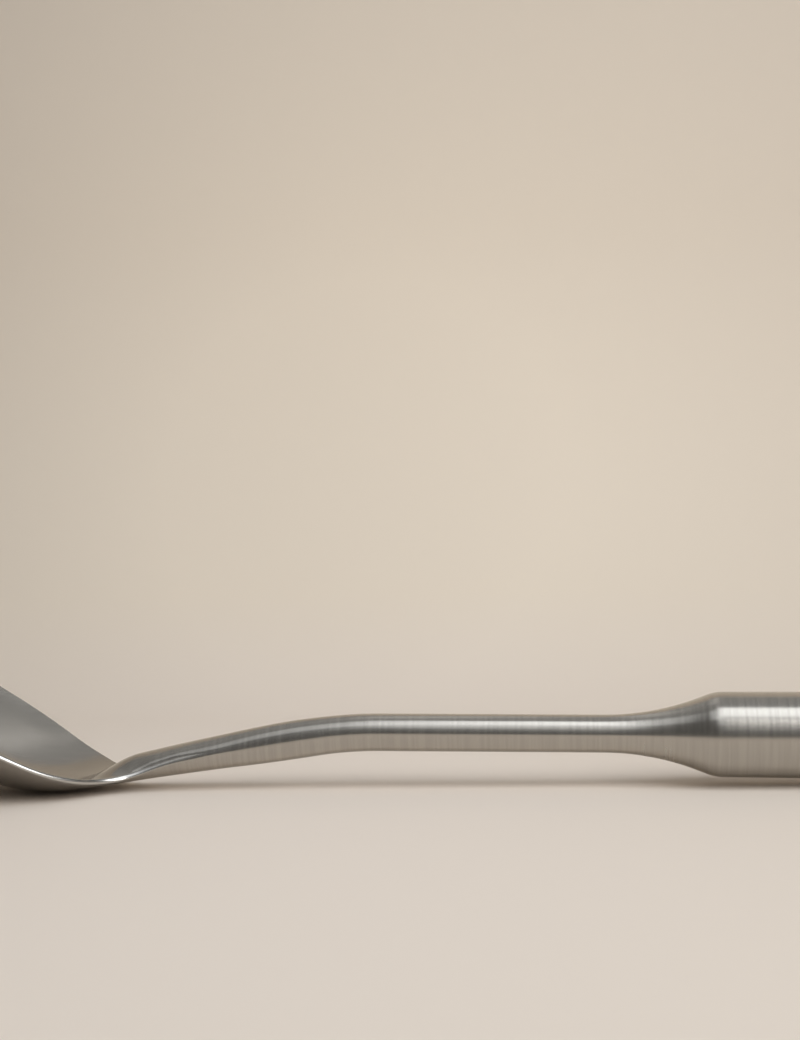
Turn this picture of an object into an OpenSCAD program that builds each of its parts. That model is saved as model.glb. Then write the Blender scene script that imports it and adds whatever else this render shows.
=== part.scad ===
// A solid serving spoon in one piece of stainless steel, lying on its bowl and on the end of its handle.
// Lengths are in millimetres. The spoon is drawn in its handle's frame, where x runs along the handle's
// axis from the heel of the bowl, y is across and z is up, and is then laid down on the plane z = 0.

/* [Bowl] */
// Length of the bowl from the lower edge of its rim at the tip to the heel
bowl_l = 91; // [80:1:105]
// Width of the bowl between the lower edges of its rim
bowl_w = 62.2; // [54:0.2:72]
// Thickness of the bowl's wall
wall_t = 1.1; // [0.8:0.1:2]
// How far the middle of the rim's edge stands out beyond its corners
rim_crown = 0.25; // [0.15:0.05:0.6]
// Angle of the rim to the handle's axis
rim_angle = 30.2; // [26:0.1:33]
// Radius of the rim's gentle bow, seen from the side
rim_bow_r = 500; // [350:10:900]
// Height of the rim's lower edge above the bowl's underside where the rim leaves the neck's fillet
heel_rise = 2.9; // [2:0.1:3.6]
// Radius of the bowl's underside where it turns up behind the heel
heel_r = 39; // [34:0.5:46]
// Length of that turn, seen from above
heel_run = 20; // [16:0.5:24]
// Distance of that turn from the heel
heel_gap = 10.2; // [7:0.2:13]

/* [Neck] */
// Diameter of the round neck
neck_d = 8.4; // [6.5:0.1:10]
// Distance from the heel to the handle's shoulder
neck_l = 134.8; // [118:0.2:150]
// Angle at which the neck's underside falls to the bowl
neck_fall = 8.1; // [6:0.1:10]
// Distance from the heel to the middle of the bend
bend_at = 52.2; // [46:0.2:60]
// Radius of the bend
bend_r = 92; // [60:1:120]
// Extra thickness that the neck swells to just below the bend
bend_swell = 0.3; // [0:0.05:0.8]
// Width of the neck at the heel
root_w = 16.4; // [13:0.2:20]
// Thickness of the neck at the heel, before it runs out into the bowl
root_h = 5.5; // [4.5:0.1:6.5]
// How far the upper corner of the neck's edge is set in near the heel
root_bevel = 0.8; // [0:0.05:1]
// Distance from the heel at which the neck is as narrow as its round part
narrow_at = 56; // [44:1:62]
// Distance from the heel at which the neck is as thick as its round part
thick_at = 41.4; // [34:0.2:50]
// Distance from the heel at which the neck's section is fully round
round_at = 32; // [26:1:42]
// Length of the tongue by which the neck runs out into the bowl
tongue_l = 13; // [10:0.5:20]
// Length of the fillet between the bowl's outline and the neck, on the bowl's side of the heel
fillet_bowl = 5; // [4:0.5:7]
// Length of that fillet on the neck's side of the heel
fillet_neck = 8; // [6:0.5:12]

/* [Handle] */
// Diameter of the handle at its shoulder
shoulder_d = 18.8; // [15.5:0.1:22]
// Diameter of the handle at its far end
end_d = 19.8; // [16:0.1:23]
// Length of the handle from its shoulder to its far end
handle_l = 113; // [95:1:135]
// Rounding of the shoulder
shoulder_r = 11; // [4:0.5:14]
// Radius of the hollow flare between the neck and the shoulder
flare_r = 59; // [45:1:80]
// Rounding of the edge of the far end
end_r = 4; // [1.5:0.1:6]

/* [Hidden] */

// How finely the surfaces are divided
bowl_steps = 28;
fillet_steps = 10;
neck_steps = 24;
skin_steps = 22;
edge_steps = 4;
arc_steps = 14;
$fn = 96;

// How the neck flattens: the powers of its curves, the share of its thickness under its edge at the
// heel, the run in which that edge climbs to half the thickness, and where the rounding starts
width_power = 4.5;
height_power = 1.5;
edge_share = 0.29;
edge_run = 12.5;
lens_l = 2;
// How the tongue fades: where its slope starts on the neck, and how much its flanks hollow out
tongue_root = 4;
flank_power = 0.5;
// Where the neck swells below the bend: the middle of the swelling and its reach on either side
swell_at = 35;
swell_reach = 14;
// How the rim turns from level to its own slope: from behind the heel to a place on the neck
rim_turn_bowl = 17.5;
rim_turn_neck = 5.4;
// Where the neck's edge line takes over from the rim, on either side of the heel
edge_bowl = fillet_bowl + 1.5;
edge_neck = fillet_neck - 5;
// A small step for slopes, and a step off the tip, where the outline closes
dx = 0.02;
tip_step = 0.5;
// How far the blade's last section lies inside the round neck's edge, and how far it reaches in
joint_inset = 0.02;
joint_lap = 0.6;

neck_r = neck_d / 2;
shoulder_radius = shoulder_d / 2;
end_radius = end_d / 2;
fall = tan(neck_fall);
bend_run = bend_r * fall;
bend_from = bend_at - bend_run / 2;
bend_to = bend_at + bend_run / 2;
blade_l = max(narrow_at, bend_to) + 2;

// The bowl's outline is an ellipse, drawn along the lower edge of the rim and ending just short of
// the heel
bowl_a = (bowl_l - rim_crown) / 2;
bowl_b = bowl_w / 2;
bowl_x = -(bowl_l + rim_crown) / 2;
tip_x = bowl_x - bowl_a;
heel_to = -heel_gap;
heel_from = heel_to - heel_run;

// Helpers: a smooth step from 0 to 1, a curve through two points with given slopes, and the height
// lost at x by a line that is level from b on and falls evenly steeper to a slope of 1 at a
function ease(s) = let (c = min(max(s, 0), 1)) c * c * (3 - 2 * c);
function curve(x, x0, y0, s0, x1, y1, s1) =
    let (h = x1 - x0, u = (x - x0) / h)
    y0 * (1 + 2 * u) * (1 - u) ^ 2 + s0 * h * u * (1 - u) ^ 2
    + y1 * u * u * (3 - 2 * u) + s1 * h * u * u * (u - 1);
function turn(x, a, b) = x >= b ? 0 : x <= a ? (a + b) / 2 - x : (b - x) ^ 2 / (2 * (b - a));
function mix(p, q, m) = p * (1 - m) + q * m;

// The underside along the middle: the neck, its bend, the fall to the bowl and the turn behind the
// heel, and then a long even curve up to the tip that just meets the rim there
function under_neck(x) =
    -neck_r - fall * turn(x, bend_from, bend_to) + heel_run / heel_r * turn(x, heel_from, heel_to);
toe_turn = (rim(tip_x) - under_neck(tip_x)) / ((heel_from - tip_x) / 2);
function swell(x) = bend_swell * max(0, 1 - ((x - swell_at) / swell_reach) ^ 2) ^ 2;
function under(x) = under_neck(x) + toe_turn * turn(x, tip_x, heel_from) - swell(x) / 2;
function under_slope(x) = (under(x + dx) - under(x - dx)) / (2 * dx);

// The rim's lower edge, seen from the side
function rim_turn(x) = tan(rim_angle) * turn(x, -rim_turn_bowl, rim_turn_neck);
function rim(x) =
    under_neck(-edge_bowl) + heel_rise + rim_turn(x) - rim_turn(-edge_bowl)
    - (-rim_turn_bowl - tip_x) / rim_bow_r * turn(x, tip_x, -rim_turn_bowl);
function rim_rise(x) = rim(x) - under(x);

// Half the width from above: the ellipse of the bowl, the fillet and the neck
function bowl_half(x) = bowl_b * sqrt(max(0, 1 - ((x - bowl_x) / bowl_a) ^ 2));
function neck_half(x) = neck_r + (root_w / 2 - neck_r) * max(0, 1 - x / narrow_at) ^ width_power;
function edge_half(x) =
    x <= -fillet_bowl ? bowl_half(x)
    : x >= fillet_neck ? neck_half(x) - rim_crown
    : curve(x,
        -fillet_bowl, bowl_half(-fillet_bowl),
        (bowl_half(-fillet_bowl) - bowl_half(-fillet_bowl - dx)) / dx,
        fillet_neck, neck_half(fillet_neck) - rim_crown,
        (neck_half(fillet_neck + dx) - neck_half(fillet_neck)) / dx);

// Thickness along the middle, upright, from the wall through the tongue to the neck
function neck_height(x) =
    (neck_d + swell(x) - (neck_d - root_h) * max(0, 1 - x / thick_at) ^ height_power)
    * sqrt(1 + under_slope(max(x, 0)) ^ 2);
function height(x) = wall_t + (neck_height(x) - wall_t) * ease((x + tongue_l) / (tongue_l + tongue_root));

// Height of the edge above the underside's middle line
function neck_edge(x) = height(x) * (edge_share + (0.5 - edge_share) * ease(x / edge_run));
function edge_rise(x) =
    x <= -edge_bowl ? rim_rise(x)
    : x >= edge_neck ? neck_edge(x)
    : curve(x,
        -edge_bowl, rim_rise(-edge_bowl), (rim_rise(-edge_bowl) - rim_rise(-edge_bowl - dx)) / dx,
        edge_neck, neck_edge(edge_neck), (neck_edge(edge_neck + dx) - neck_edge(edge_neck)) / dx);

// Half the width of the dome that the neck's top makes, which narrows to the tongue in the bowl
function dome_half(x) =
    x >= fillet_neck ? edge_half(x)
    : min(edge_half(x), neck_half(x) * max(0.01, 1 - (min(x, 0) / tongue_l) ^ 2));

// A point of the underside at the share v of the half width, and the direction of the wall there,
// which is upright in the neck
function under_point(x, v) = [x, edge_half(x) * v, under(x) + edge_rise(x) * v * v];
function bulge(x) = edge_rise(x) / edge_half(x) ^ 2;
function wall_way(x, v) =
    let (
        y = edge_half(x) * v,
        c = max(x, tip_x + tip_step),
        lean = 1 - ease((x + tongue_l) / tongue_l),
        n = [
            -lean * (under_slope(x) + (bulge(c + dx) - bulge(c - dx)) / (2 * dx) * y * y),
            -lean * 2 * bulge(c) * y,
            1]
    )
    n / norm(n);
function skin_gap(x, v) =
    let (
        y = edge_half(x) * v,
        power = 1 + flank_power * ease((fillet_neck - x) / fillet_neck)
    )
    wall_t + (height(x) - wall_t) * max(0, 1 - (y / dome_half(x)) ^ 2) ^ power;
function bevel(x) =
    root_bevel * ease((x + edge_bowl) / (edge_bowl + edge_neck)) * ease(2 - x / (edge_neck + 9));
function top_point(x, v) =
    under_point(x, v) + skin_gap(x, v) * wall_way(x, v) - [0, bevel(x) * v ^ 7, 0];

// The step up the edge, and the way out of it, square to that and to its run, on the side s
function edge_step(x, s) = top_point(x, s) - under_point(x, s);
function rim_way(x, s) =
    let (
        c = max(x, tip_x + dx),
        along = x <= tip_x + dx ? [0, s, 0] : under_point(c + dx, s) - under_point(c - dx, s),
        out = cross(edge_step(x, s), along)
    )
    s * out / norm(out);

// The crowned edge from the underside to the top, with its angle a from -90 to 90
function edge_point(x, s, a) =
    under_point(x, s) + (1 + sin(a)) / 2 * edge_step(x, s) + rim_crown * cos(a) * rim_way(x, s);

// A point of the neck's round section at the angle a from straight down
function round_point(x, a) =
    [x, neck_half(x) * sin(a), under(x) + height(x) / 2 * (1 - cos(a))];

// One section of the blade as a closed loop: underside, edge, top and edge again
edge_span = 12;
function skin_share(i) = sin(90 * (2 * i / skin_steps - 1));
function roundness(x) = ease((x - lens_l) / (round_at - lens_l));
function skin_angle(i) = (90 - edge_span) * (2 * i / skin_steps - 1);
function section(x) =
    let (m = roundness(x))
    [
        for (i = [0:skin_steps])
            mix(under_point(x, skin_share(i)), round_point(x, skin_angle(i)), m),
        for (i = [1:edge_steps - 1])
            mix(edge_point(x, 1, 180 * i / edge_steps - 90),
                round_point(x, 90 + edge_span * (2 * i / edge_steps - 1)), m),
        for (i = [skin_steps:-1:0])
            mix(top_point(x, skin_share(i)), round_point(x, 180 - skin_angle(i)), m),
        for (i = [edge_steps - 1:-1:1])
            mix(edge_point(x, -1, 180 * i / edge_steps - 90),
                round_point(x, -90 - edge_span * (2 * i / edge_steps - 1)), m)
    ];

// The places of the blade's sections, from the tip to the round neck
fillet_angle = acos((-fillet_bowl - bowl_x) / bowl_a);
stations = [
    for (i = [1:bowl_steps]) bowl_x + bowl_a * cos(180 - (180 - fillet_angle) * i / bowl_steps),
    for (i = [1:fillet_steps]) -fillet_bowl + (fillet_bowl + fillet_neck) * i / fillet_steps,
    for (i = [1:neck_steps - 1]) fillet_neck + (blade_l - fillet_neck) * i / neck_steps
];
ring = 2 * (skin_steps + edge_steps);
rings = len(stations) + 1;

// At the tip the loop closes to one arc round the edge
tip_arc = [
    under_point(tip_x, 1),
    for (i = [1:edge_steps - 1]) edge_point(tip_x, 1, 180 * i / edge_steps - 90),
    top_point(tip_x, 1)
];

// The blade ends a hair inside the round neck's end face and reaches into it
function end_ring(x) = [
    for (p = section(blade_l))
        let (k = 1 - joint_inset / neck_r)
        [x, p.y * k, p.z * k]
];
blade_points = [
    each tip_arc,
    for (x = stations) each section(x),
    each end_ring(blade_l),
    each end_ring(blade_l + joint_lap)
];

function tip_index(j) =
    j <= skin_steps ? 0
    : j < skin_steps + edge_steps ? j - skin_steps
    : j <= 2 * skin_steps + edge_steps ? edge_steps
    : ring - j;
function index(i, j) =
    let (k = j % ring)
    i == 0 ? tip_index(k) : len(tip_arc) + (i - 1) * ring + k;
blade_faces = [
    for (i = [0:rings], j = [0:ring - 1])
        if (i > 0 || index(0, j) != index(0, j + 1))
            [index(i, j), index(i + 1, j + 1), index(i, j + 1)],
    for (i = [0:rings], j = [0:ring - 1])
        [index(i, j), index(i + 1, j), index(i + 1, j + 1)],
    [for (j = [ring - 1:-1:0]) index(rings + 1, j)]
];

// The round part as a profile of x and radius: neck, flare, shoulder, handle and rounded end
flare_reach = let (rise = neck_r + flare_r - shoulder_radius + shoulder_r)
    sqrt((flare_r + shoulder_r) ^ 2 - rise ^ 2);
flare_from = neck_l - flare_reach;
flare_angle = asin(flare_reach / (flare_r + shoulder_r));
handle_end = neck_l + handle_l;
round_profile = [
    [blade_l, 0],
    [blade_l, neck_r],
    for (i = [0:arc_steps])
        let (a = flare_angle * i / arc_steps)
        [flare_from + flare_r * sin(a), neck_r + flare_r * (1 - cos(a))],
    for (i = [1:arc_steps])
        let (a = flare_angle * (1 - i / arc_steps))
        [neck_l - shoulder_r * sin(a), shoulder_radius - shoulder_r * (1 - cos(a))],
    for (i = [0:arc_steps])
        let (a = 90 * i / arc_steps)
        [handle_end - end_r * (1 - sin(a)), end_radius - end_r * (1 - cos(a))],
    [handle_end, 0]
];

// The spoon lies on the turn behind the heel and on the edge of the handle's end: the slope of the
// line that touches both is found by a few steps from level
function touch_x(s) = heel_to - (fall - s) * heel_r;
function next_slope(s) =
    let (x = touch_x(s))
    (end_r - end_radius - end_r * sqrt(1 + s * s) - under(x)) / (handle_end - end_r - x);
function rest_slope(s, steps) = steps == 0 ? s : rest_slope(next_slope(s), steps - 1);
rest_angle = atan(rest_slope(0, 5));
function laid_x(p) = p.x * cos(rest_angle) + p.z * sin(rest_angle);
function laid_z(p) = p.z * cos(rest_angle) - p.x * sin(rest_angle);
far_x = laid_x([handle_end - end_r, 0, end_radius - end_r]) + end_r;
near_x = min([for (p = blade_points) laid_x(p)]);
handle_z = laid_z([handle_end - end_r, 0, end_r - end_radius]) - end_r;
low_z = min(handle_z, min([for (p = blade_points) laid_z(p)]));

// The bowl and the flattened, bent neck
module blade() {
    polyhedron(points = blade_points, faces = blade_faces, convexity = 6);
}

// The round neck, the flare and the handle
module handle() {
    rotate([90, 0, 90])
        rotate_extrude()
            polygon([for (p = round_profile) [p[1], p[0]]]);
}

module spoon() {
    color("silver")
        translate([-(near_x + far_x) / 2, 0, -low_z])
            rotate([0, rest_angle, 0])
                union() {
                    blade();
                    handle();
                }
}

spoon();
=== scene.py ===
import math
import bmesh
import bpy
import numpy as np
from mathutils import Matrix, Vector


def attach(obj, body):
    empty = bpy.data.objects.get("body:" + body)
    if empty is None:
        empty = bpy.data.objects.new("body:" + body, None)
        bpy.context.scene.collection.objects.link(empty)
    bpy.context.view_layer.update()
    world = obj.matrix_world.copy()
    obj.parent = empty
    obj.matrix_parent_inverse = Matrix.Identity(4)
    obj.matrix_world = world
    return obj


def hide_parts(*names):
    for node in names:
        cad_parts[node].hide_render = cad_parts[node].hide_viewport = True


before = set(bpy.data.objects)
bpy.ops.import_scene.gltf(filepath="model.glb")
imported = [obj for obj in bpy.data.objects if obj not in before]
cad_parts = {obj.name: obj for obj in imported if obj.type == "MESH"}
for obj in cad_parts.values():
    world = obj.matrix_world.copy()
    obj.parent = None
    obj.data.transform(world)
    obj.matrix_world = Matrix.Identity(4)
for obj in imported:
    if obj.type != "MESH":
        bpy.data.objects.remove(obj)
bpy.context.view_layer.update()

# The spoon's driving dimensions, in millimetres and degrees, in its handle's frame: x runs along
# the handle's axis from the heel of the bowl, y is across and z is up.
BOWL_L, BOWL_W, WALL_T, RIM_CROWN = 91, 62.2, 1.1, 0.25
RIM_ANGLE, RIM_BOW_R, HEEL_RISE = 30.2, 500, 2.9
HEEL_R, HEEL_RUN, HEEL_GAP = 39, 20, 10.2
NECK_D, NECK_L, NECK_FALL = 8.4, 134.8, 8.1
BEND_AT, BEND_R = 52.2, 92
BEND_SWELL, SWELL_AT, SWELL_REACH = 0.3, 35, 14
ROOT_W, ROOT_H, ROOT_BEVEL = 16.4, 5.5, 0.8
NARROW_AT, THICK_AT, ROUND_AT = 56, 41.4, 32
TONGUE_L, FILLET_BOWL, FILLET_NECK = 13, 5, 8
SHOULDER_D, END_D, HANDLE_L = 18.8, 19.8, 113
SHOULDER_R, FLARE_R, END_R = 11, 59, 4
WIDTH_POWER, HEIGHT_POWER = 4.5, 1.5
# The root's edge line runs up to 0.4 mm lower here than in the solid, as in the photograph
EDGE_SHARE, EDGE_RUN, LENS_L = 0.22, 14.9, 2
TONGUE_ROOT, FLANK_POWER, DOME_LEAST = 4, 0.5, 0.01
RIM_TURN_BOWL, RIM_TURN_NECK = 17.5, 5.4
EDGE_BOWL, EDGE_NECK = FILLET_BOWL + 1.5, FILLET_NECK - 5
BEVEL_TO, BEVEL_POWER = EDGE_NECK + 9, 7
EDGE_SPAN = math.radians(12)
DX, TIP_STEP = 0.02, 0.5

NECK_R = NECK_D / 2
FALL = math.tan(math.radians(NECK_FALL))
BEND_FROM = BEND_AT - BEND_R * FALL / 2
BEND_TO = BEND_AT + BEND_R * FALL / 2
BLADE_L = max(NARROW_AT, BEND_TO) + 2
BOWL_A, BOWL_B = (BOWL_L - RIM_CROWN) / 2, BOWL_W / 2
BOWL_X = -(BOWL_L + RIM_CROWN) / 2
TIP_X = BOWL_X - BOWL_A
HEEL_TO = -HEEL_GAP
HEEL_FROM = HEEL_TO - HEEL_RUN


def ease(s):
    """From 0 to 1, level at both ends."""
    c = np.clip(s, 0, 1)
    return c * c * (3 - 2 * c)


def curve(x, x0, y0, s0, x1, y1, s1):
    """A cubic with height and slope given at both ends."""
    h = x1 - x0
    u = (x - x0) / h
    return (y0 * (1 + 2 * u) * (1 - u) ** 2 + s0 * h * u * (1 - u) ** 2
            + y1 * u * u * (3 - 2 * u) + s1 * h * u * u * (u - 1))


def turn(x, a, b):
    """A line that falls at 1 in 1 up to a, and turns level between a and b."""
    return np.where(x >= b, 0,
                    np.where(x <= a, (a + b) / 2 - x, (b - x) ** 2 / (2 * (b - a))))


def slope(f, x):
    return (f(x + DX) - f(x - DX)) / (2 * DX)


def slope_up(f, x):
    return (f(x + DX) - f(x)) / DX


def slope_down(f, x):
    return (f(x) - f(x - DX)) / DX


def points(x, y, z):
    return np.stack(np.broadcast_arrays(x, y, z), -1).astype(float)


def unit(n):
    return n / np.linalg.norm(n, axis=-1, keepdims=True)


# Lines along the spoon, as functions of x: the underside, the rim, the widths and the heights
def under_neck(x):
    return (-NECK_R - FALL * turn(x, BEND_FROM, BEND_TO)
            + HEEL_RUN / HEEL_R * turn(x, HEEL_FROM, HEEL_TO))


def rim_turn(x):
    return math.tan(math.radians(RIM_ANGLE)) * turn(x, -RIM_TURN_BOWL, RIM_TURN_NECK)


def rim(x):
    return (under_neck(-EDGE_BOWL) + HEEL_RISE + rim_turn(x) - rim_turn(-EDGE_BOWL)
            - (-RIM_TURN_BOWL - TIP_X) / RIM_BOW_R * turn(x, TIP_X, -RIM_TURN_BOWL))


# The underside turns up towards the tip so that it meets the rim there
TOE_TURN = (rim(TIP_X) - under_neck(TIP_X)) / ((HEEL_FROM - TIP_X) / 2)


def swell(x):
    return BEND_SWELL * np.maximum(0, 1 - ((x - SWELL_AT) / SWELL_REACH) ** 2) ** 2


def under(x):
    return under_neck(x) + TOE_TURN * turn(x, TIP_X, HEEL_FROM) - swell(x) / 2


def rim_rise(x):
    return rim(x) - under(x)


def bowl_half(x):
    return BOWL_B * np.sqrt(np.maximum(0, 1 - ((x - BOWL_X) / BOWL_A) ** 2))


def neck_half(x):
    return NECK_R + (ROOT_W / 2 - NECK_R) * np.maximum(0, 1 - x / NARROW_AT) ** WIDTH_POWER


def edge_half(x):
    a, b = -FILLET_BOWL, FILLET_NECK
    mid = curve(x, a, bowl_half(a), slope_down(bowl_half, a),
                b, neck_half(b) - RIM_CROWN, slope_up(neck_half, b))
    return np.where(x <= a, bowl_half(x), np.where(x >= b, neck_half(x) - RIM_CROWN, mid))


def neck_height(x):
    flat = (NECK_D - ROOT_H) * np.maximum(0, 1 - x / THICK_AT) ** HEIGHT_POWER
    return (NECK_D + swell(x) - flat) * np.sqrt(1 + slope(under, np.maximum(x, 0)) ** 2)


def height(x):
    return WALL_T + (neck_height(x) - WALL_T) * ease((x + TONGUE_L) / (TONGUE_L + TONGUE_ROOT))


def neck_edge(x):
    return height(x) * (EDGE_SHARE + (0.5 - EDGE_SHARE) * ease(x / EDGE_RUN))


def edge_rise(x):
    a, b = -EDGE_BOWL, EDGE_NECK
    mid = curve(x, a, rim_rise(a), slope_down(rim_rise, a),
                b, neck_edge(b), slope_up(neck_edge, b))
    return np.where(x <= a, rim_rise(x), np.where(x >= b, neck_edge(x), mid))


def dome_half(x):
    fade = np.maximum(DOME_LEAST, 1 - (np.minimum(x, 0) / TONGUE_L) ** 2)
    return np.where(x >= FILLET_NECK, edge_half(x),
                    np.minimum(edge_half(x), neck_half(x) * fade))


def bulge(x):
    return edge_rise(x) / edge_half(x) ** 2


# Surfaces of the bowl and the neck: v runs from -1 to 1 across, and s is the side, -1 or 1
def under_point(x, v):
    return points(x, edge_half(x) * v, under(x) + edge_rise(x) * v * v)


def wall_way(x, v):
    """The direction in which the wall's thickness is laid off."""
    y = edge_half(x) * v
    c = np.maximum(x, TIP_X + TIP_STEP)
    lean = 1 - ease((x + TONGUE_L) / TONGUE_L)
    return unit(points(-lean * (slope(under, x) + slope(bulge, c) * y * y),
                       -lean * 2 * bulge(c) * y, 1))


def skin_gap(x, v):
    """The thickness between the underside and the top."""
    share = np.abs(edge_half(x) * v) / np.maximum(dome_half(x), 1e-6)
    power = 1 + FLANK_POWER * ease((FILLET_NECK - x) / FILLET_NECK)
    return WALL_T + (height(x) - WALL_T) * np.maximum(0, 1 - share ** 2) ** power


def bevel(x):
    rise = ease((x + EDGE_BOWL) / (EDGE_BOWL + EDGE_NECK))
    return ROOT_BEVEL * rise * ease(2 - x / BEVEL_TO)


def top_point(x, v):
    inward = points(0, bevel(x) * v ** BEVEL_POWER, 0)
    return under_point(x, v) + skin_gap(x, v)[..., None] * wall_way(x, v) - inward


def edge_step(x, s):
    return top_point(x, s) - under_point(x, s)


def rim_way(x, s):
    """The direction in which the rim's edge is crowned."""
    c = np.maximum(x, TIP_X + DX)
    along = under_point(c + DX, s) - under_point(c - DX, s)
    along = np.where((x <= TIP_X + DX)[..., None], np.array([0.0, s, 0.0]), along)
    return s * unit(np.cross(edge_step(x, s), along))


def edge_point(x, s, a):
    climb = ((1 + np.sin(a)) / 2)[..., None]
    return (under_point(x, s) + climb * edge_step(x, s)
            + RIM_CROWN * np.cos(a)[..., None] * rim_way(x, s))


def round_point(x, a):
    return points(x, neck_half(x) * np.sin(a), under(x) + height(x) / 2 * (1 - np.cos(a)))


# The fine mesh is one run of rings from the bowl's tip to the handle's end. Each ring goes over
# the underside, the edge at +y, the top and the edge at -y.
SKIN_STEPS, EDGE_STEPS = 72, 12
BOWL_RINGS, FILLET_RINGS, BLADE_RINGS = 121, 49, 91
NECK_RINGS, FLARE_RINGS, SHOULDER_RINGS, GRIP_RINGS, END_RINGS = 13, 37, 25, 25, 19
FACE_SHARES = (0.8, 0.55, 0.3, 0.1, 0)

skin_share = np.sin(np.linspace(-math.pi / 2, math.pi / 2, SKIN_STEPS + 1))
skin_angle = (math.pi / 2 - EDGE_SPAN) * np.linspace(-1, 1, SKIN_STEPS + 1)
edge_angle = np.linspace(-math.pi / 2, math.pi / 2, EDGE_STEPS + 1)[1:-1]
edge_round = EDGE_SPAN * np.linspace(-1, 1, EDGE_STEPS + 1)[1:-1]
ring_angle = np.concatenate([skin_angle, math.pi / 2 + edge_round,
                             math.pi - skin_angle[::-1], -math.pi / 2 - edge_round[::-1]])
# 1 on the rim's edge and 0 on the underside and the top
ring_edge = np.concatenate([np.zeros(SKIN_STEPS + 1), np.ones(EDGE_STEPS - 1)] * 2)


def blade_rings(xs):
    """Rings of the bowl and of the neck as far as it isn't round."""
    x = np.asarray(xs, float)[:, None]
    lens = np.concatenate([under_point(x, skin_share[None]),
                           edge_point(x, 1.0, edge_angle[None]),
                           top_point(x, skin_share[None, ::-1]),
                           edge_point(x, -1.0, edge_angle[None, ::-1])], axis=1)
    m = ease((x - LENS_L) / (ROUND_AT - LENS_L))[..., None]
    return lens * (1 - m) + round_point(x, ring_angle[None]) * m


def round_rings(profile):
    """Rings of the round neck and the handle, from pairs of x and radius."""
    x, r = np.array(profile, float).T[:, :, None]
    return points(x, r * np.sin(ring_angle[None]), -r * np.cos(ring_angle[None]))


fillet_angle = math.acos((-FILLET_BOWL - BOWL_X) / BOWL_A)
blade_x = np.concatenate([
    BOWL_X + BOWL_A * np.cos(np.linspace(math.pi, fillet_angle, BOWL_RINGS)),
    np.linspace(-FILLET_BOWL, FILLET_NECK, FILLET_RINGS)[1:],
    np.linspace(FILLET_NECK, BLADE_L, BLADE_RINGS)[1:]])

shoulder_radius, end_radius = SHOULDER_D / 2, END_D / 2
flare_rise = NECK_R + FLARE_R - shoulder_radius + SHOULDER_R
flare_reach = math.sqrt((FLARE_R + SHOULDER_R) ** 2 - flare_rise ** 2)
flare_from = NECK_L - flare_reach
flare_angle = math.asin(flare_reach / (FLARE_R + SHOULDER_R))
handle_end = NECK_L + HANDLE_L
grip_from = np.array([NECK_L, shoulder_radius])
grip_to = np.array([handle_end - END_R, end_radius])

profile = [(x, NECK_R) for x in np.linspace(BLADE_L, flare_from, NECK_RINGS)[1:]]
profile += [(flare_from + FLARE_R * math.sin(a), NECK_R + FLARE_R * (1 - math.cos(a)))
            for a in np.linspace(0, flare_angle, FLARE_RINGS)[1:]]
profile += [(NECK_L - SHOULDER_R * math.sin(a),
             shoulder_radius - SHOULDER_R * (1 - math.cos(a)))
            for a in np.linspace(flare_angle, 0, SHOULDER_RINGS)[1:]]
profile += [tuple(grip_from + (grip_to - grip_from) * t)
            for t in np.linspace(0, 1, GRIP_RINGS)[1:]]
profile += [(handle_end - END_R * (1 - math.sin(a)), end_radius - END_R * (1 - math.cos(a)))
            for a in np.linspace(0, math.pi / 2, END_RINGS)[1:]]
profile += [(handle_end, (end_radius - END_R) * t) for t in FACE_SHARES]

rings = np.concatenate([blade_rings(blade_x), round_rings(profile)])
ring_x = np.concatenate([blade_x, [p[0] for p in profile]])

# Where the spoon lies: on the turn behind its heel and on the edge of its handle's end
rest = 0.0
for _ in range(6):
    touch = HEEL_TO - (FALL - rest) * HEEL_R
    rest = ((END_R - end_radius - END_R * math.sqrt(1 + rest * rest) - float(under(touch)))
            / (handle_end - END_R - touch))
rest = math.atan(rest)
TURN = np.array([[math.cos(rest), 0, math.sin(rest)],
                 [0, 1, 0],
                 [-math.sin(rest), 0, math.cos(rest)]])
laid = rings @ TURN.T
SHIFT = -np.array([(laid[..., 0].min() + laid[..., 0].max()) / 2, 0, laid[..., 2].min()])


def row(p):
    """A place in the handle's frame, in millimetres, in the row's frame, in metres."""
    return (np.asarray(p, float) @ TURN.T + SHIFT) / 1000


# Masks for the steel, in millimetres along the handle's frame: where they start to fade, and how
# far it takes. Then how many times the grain's texture goes into a metre.
RIM_FADE, RIM_FADE_RUN = 1, 14
BOWL_FADE, BOWL_FADE_RUN = -6, 22
GRAIN_PER_M = 3


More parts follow.
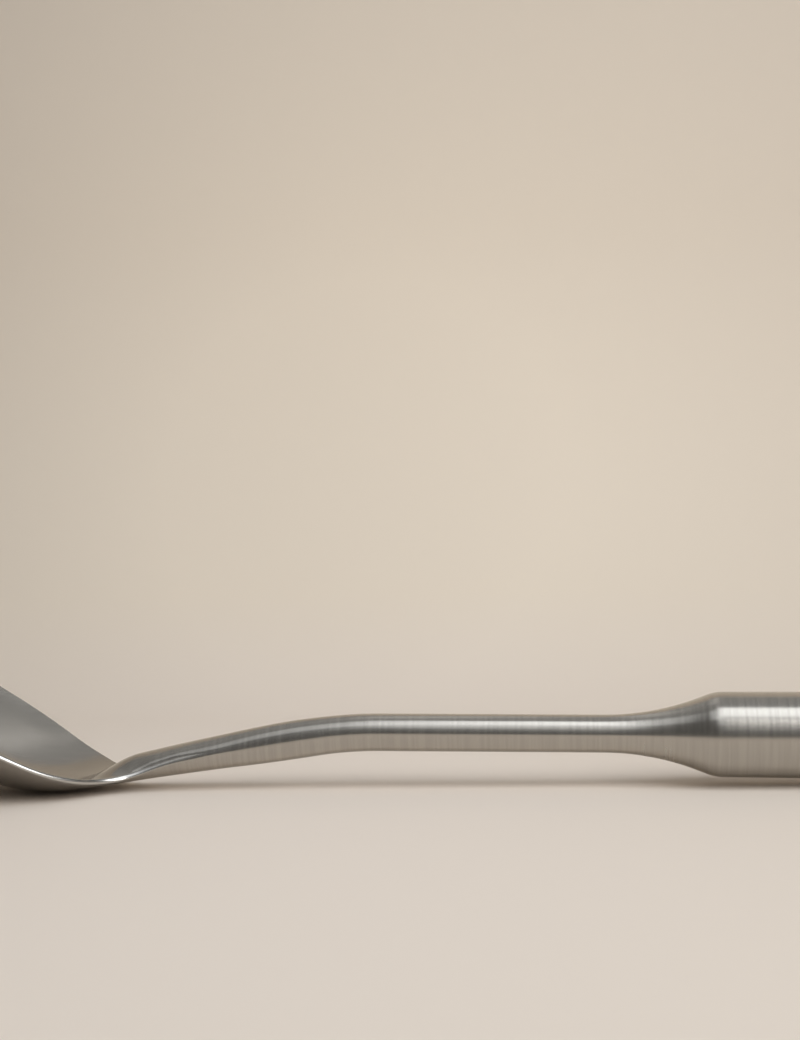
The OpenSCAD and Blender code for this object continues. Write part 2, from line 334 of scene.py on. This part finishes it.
def make_spoon():
    verts = row(rings)
    count, ring = verts.shape[:2]
    mesh = bpy.data.meshes.new("spoon_skin")
    index = np.arange(count * ring).reshape(count, ring)
    a, b = index[:-1], index[1:]
    quads = np.stack([a, np.roll(a, -1, 1), np.roll(b, -1, 1), b], -1).reshape(-1, 4)[:, ::-1]
    mesh.from_pydata(verts.reshape(-1, 3).tolist(), [], quads.tolist())

    # The grain's directions: u runs along the spoon, and v runs round it
    steps = np.linalg.norm(np.diff(verts.mean(1), axis=0), axis=1)
    run = np.concatenate([[0], np.cumsum(steps)])
    corner_u = np.stack([run[:-1], run[:-1], run[1:], run[1:]], -1)
    corner_u = np.repeat(corner_u[:, None], ring, 1)
    turn_v = np.arange(ring + 1) / ring
    corner_v = np.stack([turn_v[:-1], turn_v[1:], turn_v[1:], turn_v[:-1]], -1)
    corner_v = np.repeat(corner_v[None], count - 1, 0)
    corners = np.stack([corner_u * GRAIN_PER_M, corner_v], -1).reshape(-1, 4, 2)[:, ::-1]
    uv = mesh.uv_layers.new(name="grain")
    uv.data.foreach_set("uv", corners.reshape(-1).astype(np.float32))

    on_rim = (1 - ease((ring_x - RIM_FADE) / RIM_FADE_RUN))[:, None] * ring_edge[None]
    in_bowl = np.repeat((1 - ease((ring_x - BOWL_FADE) / BOWL_FADE_RUN))[:, None], ring, 1)
    for name, values in (("rim", on_rim), ("bowl", in_bowl)):
        mask = mesh.attributes.new(name, "FLOAT", "POINT")
        mask.data.foreach_set("value", values.reshape(-1).astype(np.float32))

    # The rings at the tip and at the handle's end close to a line and a point
    bm = bmesh.new()
    bm.from_mesh(mesh)
    bmesh.ops.remove_doubles(bm, verts=bm.verts, dist=1e-7)
    bmesh.ops.dissolve_degenerate(bm, edges=bm.edges, dist=1e-8)
    bmesh.ops.recalc_face_normals(bm, faces=bm.faces)
    bm.to_mesh(mesh)
    bm.free()
    for polygon in mesh.polygons:
        polygon.use_smooth = True
    spoon = bpy.data.objects.new("spoon_skin", mesh)
    bpy.context.scene.collection.objects.link(spoon)
    return spoon


class Graph:
    """Short calls for building a node tree."""

    def __init__(self, owner):
        owner.use_nodes = True
        self.tree = owner.node_tree
        self.tree.nodes.clear()

    def node(self, kind, **settings):
        n = self.tree.nodes.new(kind)
        for key, value in settings.items():
            setattr(n, key, value)
        return n

    def link(self, source, target):
        self.tree.links.new(source, target)

    def put(self, target, value):
        if hasattr(value, "links"):
            self.link(value, target)
        else:
            target.default_value = value

    def math(self, operation, *values):
        n = self.node("ShaderNodeMath", operation=operation)
        for socket, value in zip(n.inputs, values):
            self.put(socket, value)
        return n.outputs[0]

    def spread(self, value, low, high, to_low, to_high):
        n = self.node("ShaderNodeMapRange")
        for socket, v in zip(n.inputs, (value, low, high, to_low, to_high)):
            self.put(socket, v)
        return n.outputs[0]

    def blend(self, factor, a, b):
        """a where the factor is 0 and b where it is 1, for numbers."""
        return self.math("ADD", self.math("MULTIPLY", a, self.math("SUBTRACT", 1.0, factor)),
                         self.math("MULTIPLY", b, factor))

    def mix(self, factor, a, b):
        """a where the factor is 0 and b where it is 1, for colours."""
        n = self.node("ShaderNodeMix", data_type="RGBA")
        self.put(n.inputs[0], factor)
        self.put(n.inputs[6], a)
        self.put(n.inputs[7], b)
        return n.outputs[2]

    def axes(self, vector):
        n = self.node("ShaderNodeSeparateXYZ")
        self.link(vector, n.inputs[0])
        return n.outputs

    def noise(self, vector, scale, stretch, detail, roughness):
        m = self.node("ShaderNodeMapping")
        self.link(vector, m.inputs[0])
        m.inputs[3].default_value = stretch
        n = self.node("ShaderNodeTexNoise")
        self.link(m.outputs[0], n.inputs["Vector"])
        n.inputs["Scale"].default_value = scale
        n.inputs["Detail"].default_value = detail
        n.inputs["Roughness"].default_value = roughness
        return n.outputs[0]


# Noises: scale, stretch in x, y and z, detail and roughness. Brush lines go round the neck and
# the handle, and along the bowl.
FINE_LINES, COARSE_LINES = (1700, (1, 0.03, 0.03), 1.0, 0.5), (900, (1, 0.04, 0.04), 1.0, 0.5)
BOWL_LINES, CLOUDS = (900, (0.05, 1, 1), 3.0, 0.6), (38, (1, 1, 1), 3.0, 0.55)
FINE_PART, COARSE_PART = 0.6, 0.4
# The noise's values between which a line goes from dark to light, and its contrast in the bowl
LINE_LOW, LINE_HIGH, BOWL_CONTRAST = 0.4, 0.6, 0.2
BRUSH_DARK, BRUSH_LIGHT = (0.44, 0.42, 0.388, 1), (0.49, 0.468, 0.432, 1)
BRUSH_WARM, RIM_LIGHT = (0.46, 0.435, 0.395, 1), (0.55, 0.54, 0.52, 1)
# Roughness in dark and in light lines, what the bowl and the clouds add, and the rim's own
ROUGH_DARK, ROUGH_LIGHT, ROUGH_BOWL, ROUGH_CLOUD, ROUGH_RIM = 0.235, 0.262, -0.03, 0.015, 0.2
RELIEF, RELIEF_DEPTH, ANISOTROPY = 0.03, 0.0001, 0.45


def steel_material():
    mat = bpy.data.materials.new("brushed_stainless")
    g = Graph(mat)
    out = g.node("ShaderNodeOutputMaterial")
    shader = g.node("ShaderNodeBsdfPrincipled")
    g.link(shader.outputs[0], out.inputs[0])
    place = g.node("ShaderNodeTexCoord").outputs["Object"]
    rim_part = g.node("ShaderNodeAttribute", attribute_name="rim").outputs["Fac"]
    bowl_part = g.node("ShaderNodeAttribute", attribute_name="bowl").outputs["Fac"]

    fine, coarse, in_bowl, clouds = (
        g.noise(place, *kind) for kind in (FINE_LINES, COARSE_LINES, BOWL_LINES, CLOUDS))
    round_lines = g.math("ADD", g.math("MULTIPLY", fine, FINE_PART),
                         g.math("MULTIPLY", coarse, COARSE_PART))
    lines = g.blend(bowl_part, round_lines, in_bowl)

    tone = g.math("SUBTRACT", g.spread(lines, LINE_LOW, LINE_HIGH, 0.0, 1.0), 0.5)
    contrast = g.spread(bowl_part, 0.0, 1.0, 1.0, BOWL_CONTRAST)
    tone = g.math("ADD", g.math("MULTIPLY", tone, contrast), 0.5)
    colour = g.mix(tone, BRUSH_DARK, BRUSH_LIGHT)
    colour = g.mix(g.spread(clouds, 0.35, 0.7, 0.0, 0.25), colour, BRUSH_WARM)
    g.link(g.mix(rim_part, colour, RIM_LIGHT), shader.inputs["Base Color"])

    satin = g.math("ADD", g.spread(lines, LINE_LOW, LINE_HIGH, ROUGH_DARK, ROUGH_LIGHT),
                   g.math("MULTIPLY", bowl_part, ROUGH_BOWL))
    satin = g.math("ADD", satin, g.spread(clouds, 0.3, 0.7, -ROUGH_CLOUD, ROUGH_CLOUD))
    g.link(g.blend(rim_part, satin, ROUGH_RIM), shader.inputs["Roughness"])

    relief = g.node("ShaderNodeBump")
    relief.inputs["Strength"].default_value = RELIEF
    relief.inputs["Distance"].default_value = RELIEF_DEPTH
    g.link(tone, relief.inputs["Height"])
    g.link(relief.outputs[0], shader.inputs["Normal"])
    tangent = g.node("ShaderNodeTangent", direction_type="UV_MAP", uv_map="grain")
    g.link(tangent.outputs[0], shader.inputs["Tangent"])
    shader.inputs["Anisotropic"].default_value = ANISOTROPY
    shader.inputs["Metallic"].default_value = 1.0
    return mat


PAPER_FLOOR, PAPER_WALL = (0.90, 0.815, 0.735, 1), (0.915, 0.82, 0.70, 1)
# A darker paper colour, painted shade that stands in for the light's falloff away from the middle
PAPER_PAINTED_SHADE = (0.71, 0.635, 0.55, 1)
# In metres: how high the wall's colour starts, and where and how far out the paper gets darker:
# painted shade, light falling off away from the middle
WALL_FROM, MIDDLE_X, MIDDLE_Z, SHADE_FROM, SHADE_TO = 0.03, -0.045, 0.07, 0.07, 0.25


def backdrop_material():
    mat = bpy.data.materials.new("backdrop_paper")
    g = Graph(mat)
    out = g.node("ShaderNodeOutputMaterial")
    shader = g.node("ShaderNodeBsdfPrincipled")
    shader.inputs["Roughness"].default_value = 0.9
    shader.inputs["Specular IOR Level"].default_value = 0.1
    # The paper has one side: from behind, it hides neither the spoon nor the light
    one_side = g.node("ShaderNodeMixShader")
    g.link(g.node("ShaderNodeNewGeometry").outputs["Backfacing"], one_side.inputs[0])
    g.link(shader.outputs[0], one_side.inputs[1])
    g.link(g.node("ShaderNodeBsdfTransparent").outputs[0], one_side.inputs[2])
    g.link(one_side.outputs[0], out.inputs[0])

    x, y, z = g.axes(g.node("ShaderNodeTexCoord").outputs["Object"])
    colour = g.mix(g.spread(z, 0.0, WALL_FROM, 0.0, 1.0), PAPER_FLOOR, PAPER_WALL)
    # Painted shade: away from the middle the paper's colour darkens, as if less light fell there
    # Half of the way in front of the spoon counts
    from_middle = g.node("ShaderNodeCombineXYZ")
    g.link(g.math("SUBTRACT", x, MIDDLE_X), from_middle.inputs[0])
    g.link(g.math("MULTIPLY", g.math("MINIMUM", y, 0.0), 0.5), from_middle.inputs[1])
    g.link(g.math("SUBTRACT", z, MIDDLE_Z), from_middle.inputs[2])
    away = g.node("ShaderNodeVectorMath", operation="LENGTH")
    g.link(from_middle.outputs[0], away.inputs[0])
    colour = g.mix(g.spread(away.outputs["Value"], SHADE_FROM, SHADE_TO, 0.0, 1.0), colour, PAPER_PAINTED_SHADE)
    g.link(colour, shader.inputs["Base Color"])
    return mat


# Floor and backdrop, in metres: the floor's front edge, where it turns up, the turn's radius, the
# wall's top and half the width
FLOOR_FROM, SWEEP_FROM, SWEEP_R, WALL_TOP, SWEEP_HALF = -0.7, 0.12, 0.16, 0.36, 1.8
SWEEP_STEPS = 33


def make_sweep():
    side = [(FLOOR_FROM, 0.0), (SWEEP_FROM, 0.0)]
    side += [(SWEEP_FROM + SWEEP_R * math.sin(a), SWEEP_R * (1 - math.cos(a)))
             for a in np.linspace(0, math.pi / 2, SWEEP_STEPS)[1:]]
    side += [(SWEEP_FROM + SWEEP_R, WALL_TOP)]
    n = len(side)
    verts = [(x, y, z) for x in (-SWEEP_HALF, SWEEP_HALF) for y, z in side]
    faces = [(i, i + n, i + n + 1, i + 1) for i in range(n - 1)]
    # The floor goes on under and behind the curve, for the views from behind
    faces.append(tuple(range(2 * n, 2 * n + 4)))
    verts += [(-SWEEP_HALF, SWEEP_FROM, 0.0), (SWEEP_HALF, SWEEP_FROM, 0.0),
              (SWEEP_HALF, SWEEP_HALF, 0.0), (-SWEEP_HALF, SWEEP_HALF, 0.0)]
    mesh = bpy.data.meshes.new("sweep")
    mesh.from_pydata(verts, [], faces)
    for polygon in mesh.polygons:
        polygon.use_smooth = True
    mesh.materials.append(backdrop_material())
    sweep = bpy.data.objects.new("sweep", mesh)
    bpy.context.scene.collection.objects.link(sweep)


COOL, WARM = (0.94, 0.97, 1.0), (1.0, 0.985, 0.965)
# The key light's distance from the neck, its right end and the place that it faces, in metres
KEY_DISTANCE, KEY_RIGHT, KEY_X = 0.7, 0.46, 0.03
# Its bands: their lower and upper elevation in degrees, their radiance and their left end
KEY_BANDS = ((8, 20, 0.06, -0.11), (20, 32, 0.18, -0.11), (32, 45, 0.3, -0.11),
             (45, 57, 0.68, -0.11), (57, 70, 1.9, -0.07), (70, 84, 2.0, -0.05))


def area_lamp(name, size_x, size_y, radiance, colour, place, angles):
    """A rectangular lamp that the camera doesn't see."""
    lamp = bpy.data.lights.new(name, "AREA")
    lamp.shape = "RECTANGLE"
    lamp.size, lamp.size_y = size_x, size_y
    lamp.energy = radiance * math.pi * size_x * size_y
    lamp.color = colour
    obj = bpy.data.objects.new(name, lamp)
    bpy.context.scene.collection.objects.link(obj)
    obj.location = place
    obj.rotation_euler = angles
    obj.visible_camera = False


def softbox(name, elevation, size_x, size_y, radiance, across):
    """A lamp on the camera's side, at an elevation above the spoon's neck."""
    a = math.radians(elevation)
    area_lamp(name, size_x, size_y, radiance, COOL,
              (KEY_X + across, -KEY_DISTANCE * math.cos(a), KEY_DISTANCE * math.sin(a)),
              (math.pi / 2 - a, 0, 0))


def lamp_at(name, place, aim, size_x, size_y, radiance):
    """A lamp at a place, turned to face another."""
    angles = (Vector(aim) - Vector(place)).to_track_quat("-Z", "Y").to_euler()
    area_lamp(name, size_x, size_y, radiance, WARM, place, angles)


def make_lamps():
    for low, high, radiance, left in KEY_BANDS:
        half = math.radians((high - low) / 2)
        softbox(f"key_{low}", (low + high) / 2, KEY_RIGHT - left,
                2 * KEY_DISTANCE * math.tan(half), radiance, (KEY_RIGHT + left) / 2 - KEY_X)
    softbox("key_left", 65, 0.25, 0.36, 0.6, -0.225)
    softbox("key_right", 70, 0.6, 0.33, 1.8, 0.75)
    softbox("neck_low", 46, 0.14, 0.3, 0.5, -0.07)
    lamp_at("overhead", (-0.035, 0.22, 0.5), (-0.11, 0.02, 0.01), 0.06, 0.26, 0.5)
    lamp_at("side", (0.72, -0.62, 0.6), (-0.05, 0.0, 0.0), 0.9, 0.6, 2.2)
    lamp_at("front", (0.52, -0.72, 0.62), (-0.05, 0.0, 0.0), 0.38, 0.45, 2.4)


# What the steel reflects of the room, and the colour that the camera sees above the backdrop
ROOM_FRONT, ROOM_RIGHT = (0.13, 0.127, 0.122, 1), (0.5, 0.48, 0.45, 1)
ROOM_BACK, ROOM_SIDE, ROOM_SEEN = (0.39, 0.387, 0.38, 1), (0.0, 0.0, 0.0, 1), (0.62, 0.56, 0.49, 1)


def make_world():
    world = bpy.data.worlds.new("room")
    bpy.context.scene.world = world
    g = Graph(world)
    out = g.node("ShaderNodeOutputWorld")
    background = g.node("ShaderNodeBackground")
    g.link(background.outputs[0], out.inputs[0])
    x, y, _ = g.axes(g.node("ShaderNodeTexCoord").outputs["Generated"])
    front = g.mix(g.spread(x, 0.45, 0.85, 0.0, 1.0), ROOM_FRONT, ROOM_RIGHT)
    back = g.mix(g.spread(g.math("ABSOLUTE", x), 0.35, 0.7, 0.0, 0.8), ROOM_BACK, ROOM_SIDE)
    room = g.mix(g.spread(y, -0.45, 0.1, 0.0, 1.0), front, back)
    seen = g.node("ShaderNodeLightPath").outputs["Is Camera Ray"]
    g.link(g.mix(seen, room, ROOM_SEEN), background.inputs[0])
    background.inputs[1].default_value = 1.0


# The camera's place, in millimetres, and directions in the handle's frame, and its focal length
# in pixels, as fitted to the photograph
CAMERA_AT, FOCAL_PX = (94.364, -444.561, 60.249), 2000
YAW, PITCH, ROLL = math.radians(4.0143), math.radians(1.6369), math.radians(-0.199)
FRAME_PX, SENSOR_MM = 1040, 36


def make_camera():
    forward = np.array([-math.sin(YAW) * math.cos(PITCH), math.cos(YAW) * math.cos(PITCH),
                        -math.sin(PITCH)])
    right = np.array([math.cos(YAW), math.sin(YAW), 0])
    up = np.cross(right, forward)
    right, up = (math.cos(ROLL) * right + math.sin(ROLL) * up,
                 -math.sin(ROLL) * right + math.cos(ROLL) * up)
    view = np.stack([TURN @ right, TURN @ up, -(TURN @ forward)], 1)
    data = bpy.data.cameras.new("camera")
    data.sensor_fit = "VERTICAL"
    data.sensor_height = SENSOR_MM
    data.lens = FOCAL_PX / FRAME_PX * SENSOR_MM
    camera = bpy.data.objects.new("camera", data)
    bpy.context.scene.collection.objects.link(camera)
    camera.matrix_world = (Matrix.Translation(row(CAMERA_AT).tolist())
                           @ Matrix(view.tolist()).to_4x4())
    bpy.context.scene.camera = camera


spoon = make_spoon()
spoon.data.materials.append(steel_material())
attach(spoon, "root")
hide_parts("spoon")
make_sweep()
make_lamps()
make_world()
make_camera()
bpy.context.scene.view_settings.view_transform = "Standard"
